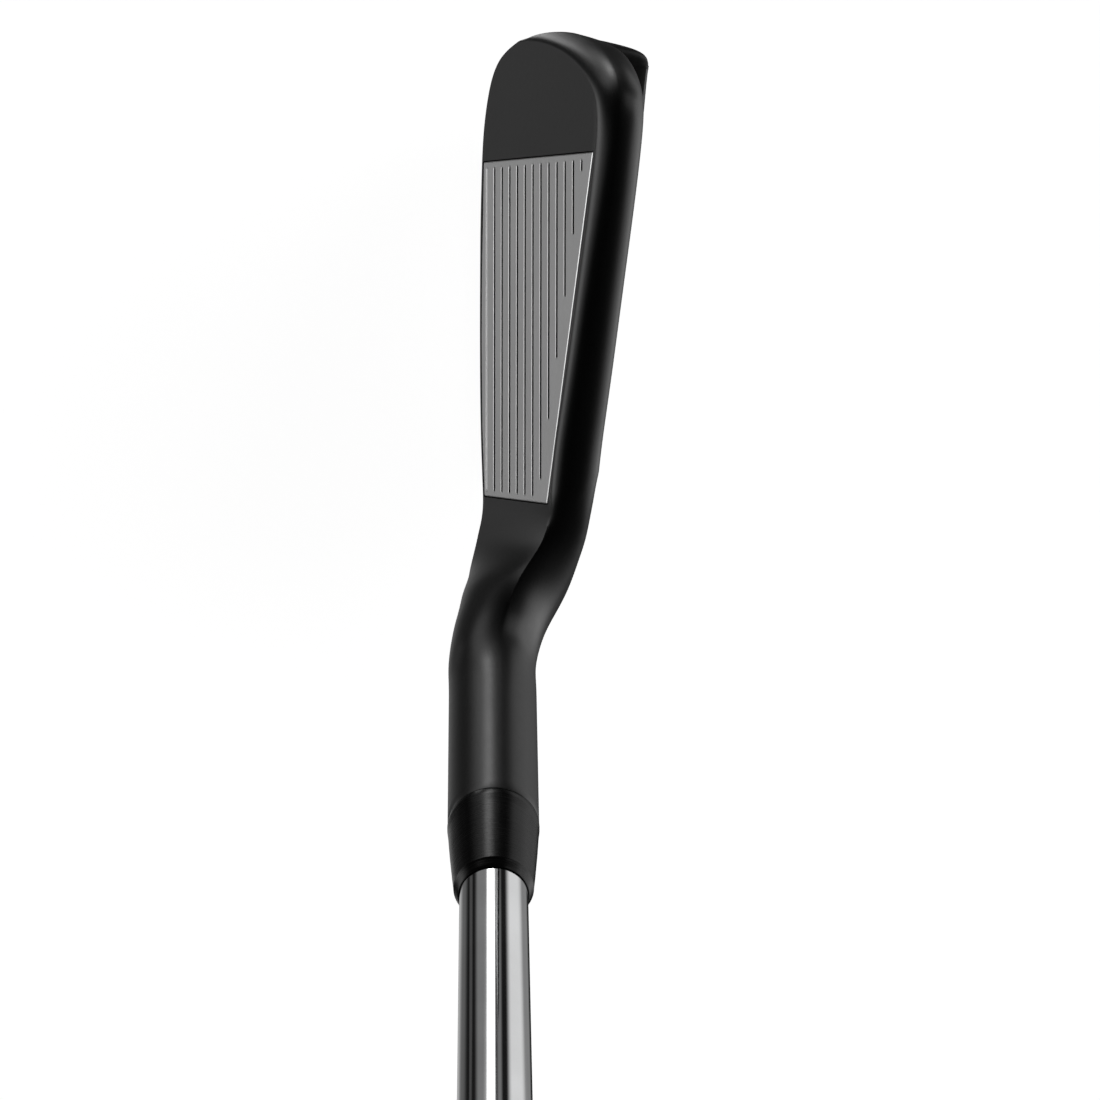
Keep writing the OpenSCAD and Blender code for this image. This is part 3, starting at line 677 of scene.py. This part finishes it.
# ------------------------------------------------------------------ material helpers
class Shader:
    """A Principled material built from nodes in object coordinates, in metres."""

    def __init__(self, name):
        self.mat = bpy.data.materials.new(name)
        self.mat.use_nodes = True
        self.tree = self.mat.node_tree
        self.nodes, self.links = self.tree.nodes, self.tree.links
        self.bsdf = self.nodes["Principled BSDF"]
        self.coord = self.nodes.new("ShaderNodeTexCoord")
        self.place = self.coord.outputs["Object"]
        self.normal = self.coord.outputs["Normal"]

    def link(self, value, socket):
        if isinstance(value, bpy.types.NodeSocket):
            self.links.new(value, socket)
        else:
            socket.default_value = value

    def math(self, op, *values, clamp=False):
        n = self.nodes.new("ShaderNodeMath")
        n.operation = op
        n.use_clamp = clamp
        for k, v in enumerate(values):
            self.link(v, n.inputs[k])
        return n.outputs[0]

    def dot(self, vector, axis, offset=0.0):
        n = self.nodes.new("ShaderNodeVectorMath")
        n.operation = "DOT_PRODUCT"
        self.links.new(vector, n.inputs[0])
        n.inputs[1].default_value = tuple(axis)
        return self.math("ADD", n.outputs["Value"], offset) if offset else n.outputs["Value"]

    def step(self, value, low, high):
        """0 below low, 1 above high, smooth between; low may be above high."""
        n = self.nodes.new("ShaderNodeMapRange")
        n.interpolation_type = "SMOOTHSTEP"
        n.inputs["From Min"].default_value = min(low, high)
        n.inputs["From Max"].default_value = max(low, high)
        n.inputs["To Min"].default_value = 0.0 if low < high else 1.0
        n.inputs["To Max"].default_value = 1.0 if low < high else 0.0
        self.links.new(value, n.inputs["Value"])
        return n.outputs[0]

    def span(self, value, low, high):
        n = self.nodes.new("ShaderNodeMapRange")
        n.inputs["To Min"].default_value = low
        n.inputs["To Max"].default_value = high
        self.links.new(value, n.inputs["Value"])
        return n.outputs[0]

    def noise(self, size, detail=3.0, rough=0.5, stretch=None, vector=None):
        """Noise whose features are about size metres across; stretch scales the three axes."""
        n = self.nodes.new("ShaderNodeTexNoise")
        n.inputs["Scale"].default_value = 1.0 / size
        n.inputs["Detail"].default_value = detail
        n.inputs["Roughness"].default_value = rough
        source = vector or self.place
        if stretch:
            m = self.nodes.new("ShaderNodeMapping")
            m.inputs["Scale"].default_value = stretch
            self.links.new(source, m.inputs["Vector"])
            source = m.outputs[0]
        self.links.new(source, n.inputs["Vector"])
        return n.outputs["Fac"]

    def along(self, value, size, detail=4.0):
        """One-dimensional noise along a value in metres."""
        n = self.nodes.new("ShaderNodeTexNoise")
        n.noise_dimensions = "1D"
        n.inputs["Scale"].default_value = 1.0 / size
        n.inputs["Detail"].default_value = detail
        self.links.new(value, n.inputs["W"])
        return n.outputs["Fac"]

    def cells(self, size):
        n = self.nodes.new("ShaderNodeTexVoronoi")
        n.inputs["Scale"].default_value = 1.0 / size
        self.links.new(self.place, n.inputs["Vector"])
        return n.outputs["Distance"]

    def mix(self, fac, a, b):
        n = self.nodes.new("ShaderNodeMix")
        n.data_type = "RGBA"
        self.link(fac, n.inputs["Factor"])
        for value, socket in ((a, n.inputs[6]), (b, n.inputs[7])):
            if isinstance(value, bpy.types.NodeSocket):
                self.links.new(value, socket)
            else:
                socket.default_value = (*value, 1.0) if len(value) == 3 else value
        return n.outputs[2]

    def bump(self, height, distance, strength=1.0):
        n = self.nodes.new("ShaderNodeBump")
        n.inputs["Strength"].default_value = strength
        n.inputs["Distance"].default_value = distance
        self.links.new(height, n.inputs["Height"])
        return n.outputs[0]

    def joined(self, x, y, z):
        n = self.nodes.new("ShaderNodeCombineXYZ")
        for k, v in enumerate((x, y, z)):
            self.link(v, n.inputs[k])
        return n.outputs[0]

    def shaft_coords(self):
        """Distance along the shaft axis, and the angle round it as a share of a turn."""
        s = self.dot(self.place, AXIS)
        a = self.math("ARCTAN2", self.dot(self.place, SIDE), self.dot(self.place, FRONT))
        return s, self.math("DIVIDE", a, 2 * math.pi)

    def finish(self, color=None, rough=None, normal=None, **fixed):
        if color is not None:
            self.links.new(color, self.bsdf.inputs["Base Color"])
        if rough is not None:
            self.links.new(rough, self.bsdf.inputs["Roughness"])
        if normal is not None:
            self.links.new(normal, self.bsdf.inputs["Normal"])
        for key, value in fixed.items():
            self.bsdf.inputs[key.replace("_", " ")].default_value = value
        return self.mat


def grey(v, tint=0.0):
    return (v * (1 - tint), v, v * (1 + tint))


def satin_black():
    """Baked satin coating over bead-blasted steel, its tone and roughness varying in patches."""
    m = Shader("satin_black_coating")
    broad, fine = m.noise(0.03, 3), m.noise(0.00035, 2, 0.6)
    grain = m.noise(0.0011, 3)
    tone = m.mix(m.step(broad, 0.35, 0.65), grey(0.005, 0.01), grey(0.0075, 0.015))
    tone = m.mix(m.step(fine, 0.3, 0.8), tone, grey(0.0095, 0.01))
    rough = m.math("ADD", m.span(broad, 0.33, 0.39), m.span(grain, -0.03, 0.03))
    height = m.math("ADD", m.math("MULTIPLY", fine, 0.6), m.math("MULTIPLY", grain, 0.4))
    return m.finish(tone, rough, m.bump(height, 0.000012, 0.6), Specular_IOR_Level=0.42)


def blasted_steel():
    """Fine blasted steel with polished rims whose lifted tone is partly a painted highlight, and painted
    shade dark inside the score lines.
    """
    m = Shader("blasted_steel_face")
    origin = FACE_ORIGIN * MM
    out = m.dot(m.place, FACE_OUT, -float(origin @ FACE_OUT))
    facing = m.dot(m.normal, FACE_OUT)
    # lips, chamfers and rim slopes: real polish in the roughness, and a painted highlight in their lighter
    # tone
    slope = m.math("MULTIPLY", m.step(facing, 0.985, 0.93), m.step(facing, 0.3, 0.6))
    # painted shade: the insides of the score lines are coloured near black where shade falls in the grooves
    inside = m.step(out, -0.00006, -0.0001)
    fine, mid, broad = m.noise(0.00022, 2, 0.7), m.noise(0.0012, 3), m.noise(0.02, 2)
    # faint milling across the face
    up = m.dot(m.place, FACE_UP)
    mill = m.along(up, 0.00016, 2)
    tone = m.mix(fine, grey(0.38), grey(0.53))
    tone = m.mix(m.span(mid, 0.0, 0.5), tone, grey(0.40))
    tone = m.mix(m.math("MULTIPLY", m.step(broad, 0.3, 0.7), 0.25), tone, grey(0.53))
    # painted highlight: the slopes' tone is lifted to show bright edge lines, on top of their real polish
    tone = m.mix(m.math("MULTIPLY", slope, 0.8), tone, grey(0.66))
    # painted shade inside the score lines
    tone = m.mix(inside, tone, grey(0.012))
    rough = m.math("ADD", m.span(fine, 0.5, 0.6), m.math("MULTIPLY", slope, -0.2), clamp=True)
    height = m.math("ADD", m.math("MULTIPLY", fine, 0.7), m.math("MULTIPLY", mill, 0.3))
    return m.finish(tone, rough, m.bump(height, 0.00002, 0.6), Metallic=1.0)


def white_paint():
    m = Shader("white_line_paint")
    n, fine = m.noise(0.0016, 3), m.noise(0.0002, 2)
    tone = m.mix(m.step(n, 0.35, 0.7), grey(0.93), grey(0.98))
    return m.finish(tone, m.span(fine, 0.4, 0.6), m.bump(fine, 0.00001, 0.5))


def turned_plastic():
    """Black ferrule plastic, turned on a lathe, then buffed."""
    m = Shader("turned_ferrule_plastic")
    s, turn = m.shaft_coords()
    lines = m.along(s, 0.00012, 3)
    coarse = m.along(s, 0.0009, 2)
    streak = m.noise(0.0004, 3, 0.6, vector=m.joined(s, m.math("MULTIPLY", turn, 0.0035), 0.0))
    patch = m.noise(0.006, 3)
    scratch = m.math("MULTIPLY", m.step(lines, 0.5, 0.72), m.step(patch, 0.35, 0.65))
    tone = m.mix(scratch, grey(0.0025), grey(0.008))
    rough = m.math("ADD", m.span(lines, 0.17, 0.32), m.math("MULTIPLY", scratch, 0.1))
    height = m.math("ADD", m.math("MULTIPLY", lines, 0.5), m.math("MULTIPLY", streak, 0.3))
    height = m.math("ADD", height, m.math("MULTIPLY", coarse, 0.2))
    return m.finish(tone, rough, m.bump(height, 0.00003, 0.5), Specular_IOR_Level=0.16)


def chrome():
    """Polished chrome plate with faint polishing lines and handling haze."""
    m = Shader("polished_chrome")
    s, _ = m.shaft_coords()
    haze, fine = m.noise(0.012, 4), m.noise(0.0006, 2, 0.6)
    ring = m.along(s, 0.0005, 3)
    tone = m.mix(m.step(haze, 0.35, 0.7), grey(0.66, 0.006), grey(0.72, 0.008))
    rough = m.math("ADD", m.span(haze, 0.05, 0.09), m.math("MULTIPLY", fine, 0.015))
    return m.finish(tone, rough, m.bump(ring, 0.000002, 0.25), Metallic=1.0)


def film():
    """Plain printed film with two hairlines near each end."""
    m = Shader("printed_film")
    s, _ = m.shaft_coords()
    s0 = (FIRST_STEP + 6 * PITCH + 6) * MM
    edge = m.math("ABSOLUTE", m.math("SUBTRACT", s, s0 + 0.014))
    line = m.math("MULTIPLY", m.step(edge, 0.0116, 0.0117), m.step(edge, 0.0124, 0.0123))
    thin = m.math("MULTIPLY", m.step(edge, 0.0106, 0.0107), m.step(edge, 0.0109, 0.0108))
    n = m.noise(0.0005, 3)
    tone = m.mix(n, grey(0.055), grey(0.075))
    tone = m.mix(m.math("MAXIMUM", line, thin), tone, grey(0.62))
    return m.finish(tone, m.span(n, 0.24, 0.34), m.bump(n, 0.00001, 0.4))


def rubber(name, base, light, patterned=False):
    """Moulded grip rubber: fine texture, lighter patches at random, wear on the high spots."""
    m = Shader(name)
    fine, mid, broad = m.noise(0.00025, 3, 0.7), m.noise(0.0015, 3), m.noise(0.02, 3)
    tone = m.mix(fine, grey(base, 0.02), grey(light, 0.03))
    tone = m.mix(m.math("MULTIPLY", m.step(broad, 0.4, 0.7), 0.5), tone, grey(light * 1.25, 0.02))
    if patterned:
        s, _ = m.shaft_coords()
        radial = m.nodes.new("ShaderNodeVectorMath")
        radial.operation = "LENGTH"
        m.links.new(m.joined(m.dot(m.place, FRONT), m.dot(m.place, SIDE), 0.0), radial.inputs[0])
        plain = m.math("ADD", m.math("MULTIPLY", s, 0.0163), -0.0032)
        high = m.step(m.math("SUBTRACT", radial.outputs["Value"], plain), -0.0004, 0.0002)
        tone = m.mix(m.math("MULTIPLY", high, m.span(mid, 0.1, 0.5)), tone, grey(light * 1.5, 0.02))
    rough = m.math("ADD", m.span(mid, 0.62, 0.78), m.span(fine, -0.05, 0.05))
    height = m.math("ADD", m.math("MULTIPLY", fine, 0.6), m.math("MULTIPLY", m.cells(0.0007), 0.4))
    return m.finish(tone, rough, m.bump(height, 0.00004, 0.5))


def brushed_black():
    """Black anodised aluminium brushed along the badge, bright at its chamfer."""
    m = Shader("brushed_black_anodised")
    brush = m.noise(0.00016, 3, 0.6, stretch=(0.02, 1.0, 1.0))
    broad = m.noise(0.012, 2)
    facing = m.dot(m.normal, WALL_OUT)
    slope = m.math("MULTIPLY", m.step(facing, 0.97, 0.8), m.step(facing, 0.2, 0.5))
    tone = m.mix(brush, grey(0.02, 0.01), grey(0.05, 0.02))
    tone = m.mix(m.math("MULTIPLY", slope, 0.7), tone, grey(0.4))
    rough = m.math("ADD", m.span(brush, 0.28, 0.44), m.span(broad, -0.04, 0.04))
    return m.finish(tone, rough, m.bump(brush, 0.000015, 0.5), Metallic=0.85)


def black_oxide():
    m = Shader("black_oxide_screw")
    fine, mid = m.noise(0.0002, 3), m.noise(0.0015, 3)
    facing = m.dot(m.normal, (-1, 0, 0))
    slope = m.math("MULTIPLY", m.step(facing, 0.97, 0.8), m.step(facing, 0.1, 0.4))
    tone = m.mix(m.step(mid, 0.4, 0.65), grey(0.018), grey(0.03, 0.02))
    tone = m.mix(m.math("MULTIPLY", slope, m.span(fine, 0.2, 0.6)), tone, grey(0.22))
    return m.finish(tone, m.span(mid, 0.26, 0.4), m.bump(fine, 0.00001, 0.6), Metallic=0.6)


def plain_finish(name, dark, light, size, rough, metallic):
    """A cast, moulded or sintered surface for the sealed inner pieces."""
    m = Shader(name)
    n, fine, speck = m.noise(size, 4), m.noise(size / 6, 3, 0.65), m.cells(size / 3)
    tone = m.mix(m.step(n, 0.3, 0.7), dark, light)
    tone = m.mix(m.math("MULTIPLY", m.step(speck, 0.25, 0.1), 0.4), tone, tuple(0.6 * c for c in dark))
    r = m.math("ADD", m.span(n, rough - 0.08, rough + 0.08), m.span(fine, -0.03, 0.03))
    return m.finish(tone, r, m.bump(fine, 0.00004, 0.6), Metallic=metallic)


# ------------------------------------------------------------------ studio
def world_light(base, panels):
    """Soft studio surround: an even base level and soft-edged panels.

    A panel is its azimuth from the target round by the golfer, its height and its roll in degrees,
    then its half width, half height and edge softness as tangents, and its level.
    """
    world = bpy.data.worlds.new("studio")
    bpy.context.scene.world = world
    world.use_nodes = True
    tree = world.node_tree
    nodes, links = tree.nodes, tree.links
    bg = nodes["Background"]
    coord = nodes.new("ShaderNodeTexCoord").outputs["Generated"]

    def op(kind, *values):
        n = nodes.new("ShaderNodeMath")
        n.operation = kind
        for k, v in enumerate(values):
            if isinstance(v, bpy.types.NodeSocket):
                links.new(v, n.inputs[k])
            else:
                n.inputs[k].default_value = v
        return n.outputs[0]

    def dot(axis):
        n = nodes.new("ShaderNodeVectorMath")
        n.operation = "DOT_PRODUCT"
        links.new(coord, n.inputs[0])
        n.inputs[1].default_value = tuple(axis)
        return n.outputs["Value"]

    def window(value, edge, soft):
        n = nodes.new("ShaderNodeMapRange")
        n.interpolation_type = "SMOOTHSTEP"
        n.inputs["From Min"].default_value = edge - soft
        n.inputs["From Max"].default_value = edge + soft
        n.inputs["To Min"].default_value = 1.0
        n.inputs["To Max"].default_value = 0.0
        links.new(op("ABSOLUTE", value), n.inputs["Value"])
        return n.outputs[0]

    total = base
    for azimuth, height, roll, wide, tall, soft, level in panels:
        az, el, turn = math.radians(azimuth), math.radians(height), math.radians(roll)
        d = Vector((math.sin(az) * math.cos(el), -math.cos(az) * math.cos(el), math.sin(el)))
        level_right = Vector((0, 0, 1)).cross(d).normalized()
        level_up = d.cross(level_right)
        right = math.cos(turn) * level_right + math.sin(turn) * level_up
        up = math.cos(turn) * level_up - math.sin(turn) * level_right
        ahead = dot(d)
        across = op("DIVIDE", dot(right), op("MAXIMUM", ahead, 0.001))
        above = op("DIVIDE", dot(up), op("MAXIMUM", ahead, 0.001))
        mask = op("MULTIPLY", window(across, wide, soft), window(above, tall, soft))
        mask = op("MULTIPLY", mask, op("GREATER_THAN", ahead, 0.0))
        total = op("ADD", total, op("MULTIPLY", mask, level))
    links.new(total, bg.inputs["Strength"])
    bg.inputs["Color"].default_value = (1, 1, 1, 1)


def stage_material(name, level, albedo):
    mat = bpy.data.materials.new(name)
    mat.use_nodes = True
    bsdf = mat.node_tree.nodes["Principled BSDF"]
    bsdf.inputs["Base Color"].default_value = (albedo, albedo, albedo, 1)
    bsdf.inputs["Roughness"].default_value = 1.0
    bsdf.inputs["Specular IOR Level"].default_value = 0.0
    bsdf.inputs["Emission Color"].default_value = (1, 1, 1, 1)
    bsdf.inputs["Emission Strength"].default_value = level
    mat.cycles.emission_sampling = "NONE"
    return mat


def build_stage():
    mesh = bpy.data.meshes.new("floor")
    size = 40.0
    mesh.from_pydata([(-size, -size, 0), (size, -size, 0), (size, size, 0), (-size, size, 0)], [],
                     [(0, 1, 2, 3)])
    floor = bpy.data.objects.new("floor", mesh)
    mesh.materials.append(stage_material("pale_floor", 0.95, 0.8))
    dome_mesh = bpy.data.meshes.new("backdrop")
    bm = bmesh.new()
    bmesh.ops.create_icosphere(bm, subdivisions=4, radius=39.0)
    bmesh.ops.reverse_faces(bm, faces=bm.faces)
    bm.to_mesh(dome_mesh)
    bm.free()
    dome = bpy.data.objects.new("backdrop", dome_mesh)
    dome_mesh.materials.append(stage_material("pale_backdrop", 1.0, 0.0))
    for o in (floor, dome):
        bpy.context.scene.collection.objects.link(o)
        o.visible_diffuse = False
        o.visible_glossy = False
        o.visible_transmission = False
        o.visible_shadow = False


def build_camera():
    data = bpy.data.cameras.new("camera")
    data.sensor_width = 36.0
    data.lens = 142.1
    data.clip_start, data.clip_end = 0.01, 120.0
    cam = bpy.data.objects.new("camera", data)
    turn = Matrix.Rotation(0.058533, 3, Vector((0.056, 0.017, -0.001)).normalized())
    rows = turn @ Matrix(((0, 1, 0), (-1, 0, 0), (0, 0, 1)))
    pose = rows.transposed().to_4x4()
    pose.translation = Vector((-0.04175, -0.00255, 0.6922))
    cam.matrix_world = pose
    bpy.context.scene.collection.objects.link(cam)
    bpy.context.scene.camera = cam


# ------------------------------------------------------------------ build
PANELS = [
    # soft boxes
    (-82, -22, 151, 0.075, 0.18, 0.085, 7.0),
    (2, -12, -142, 0.37, 0.14, 0.38, 4.2),
    (-70, -5, -72, 0.25, 0.39, 0.12, 1.5),
    (167, -14, 5, 0.25, 0.64, 0.39, 2.5),
    (-167, -5, -11, 0.27, 0.32, 0.10, 1.5),
    (-145, -31, 0, 0.40, 0.30, 0.12, 0.88),
    (-69, -55, -9, 0.05, 0.38, 0.05, 2.0),
    (-150, 16, -39, 0.26, 0.45, 0.05, 1.05),
    (14, 16, -37, 0.15, 0.34, 0.13, 0.9),
    (10, -76, 7, 0.23, 0.19, 0.14, 0.36),
    # weak fill cards, seen mostly in the chrome
    (8, -66, 0, 0.40, 0.26, 0.12, 0.13),
    (-38, -41, 0, 0.05, 0.08, 0.02, 0.07),
    (-64, -29, 10, 0.18, 0.16, 0.07, 0.22),
    (-165, -58, 0, 0.25, 0.20, 0.10, 0.26),
    (-100, -24, 0, 0.07, 0.30, 0.05, 0.20)]
INNER = {
    "cavity_filler": ("moulded_elastomer", grey(0.012, 0.1), grey(0.02, 0.12), 0.003, 0.7, 0.0),
    "sole_weight": ("sintered_weight", grey(0.16), grey(0.26), 0.0012, 0.5, 1.0),
    "toe_weight": ("sintered_toe_weight", grey(0.15), grey(0.24), 0.0012, 0.5, 1.0),
    "badge_tape": ("foam_tape", grey(0.18), grey(0.27), 0.0008, 0.9, 0.0),
    "shaft_bond": ("cured_epoxy", (0.42, 0.34, 0.2), (0.58, 0.48, 0.3), 0.004, 0.35, 0.0),
    "tip_weight": ("turned_brass", (0.55, 0.4, 0.16), (0.68, 0.5, 0.22), 0.002, 0.3, 1.0),
    "grip_tape": ("crepe_tape", (0.52, 0.47, 0.33), (0.64, 0.58, 0.42), 0.0015, 0.85, 0.0)}


def main():
    build_stage()
    build_camera()
    world_light(0.012, PANELS)
    build_head(satin_black())
    build_plate(blasted_steel())
    build_line_paint(white_paint())
    build_badge(brushed_black())
    build_screw(black_oxide())
    build_ferrule(turned_plastic())
    build_shaft(chrome())
    build_band(film())
    build_grip(rubber("moulded_grip_rubber", 0.012, 0.024, patterned=True))
    build_cap(rubber("smooth_cap_rubber", 0.014, 0.026))
    for node, finish in INNER.items():
        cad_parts[node].material_slots[0].material = plain_finish(*finish)
    view = bpy.context.scene.view_settings
    view.view_transform = "Standard"
    view.look = "None"


main()
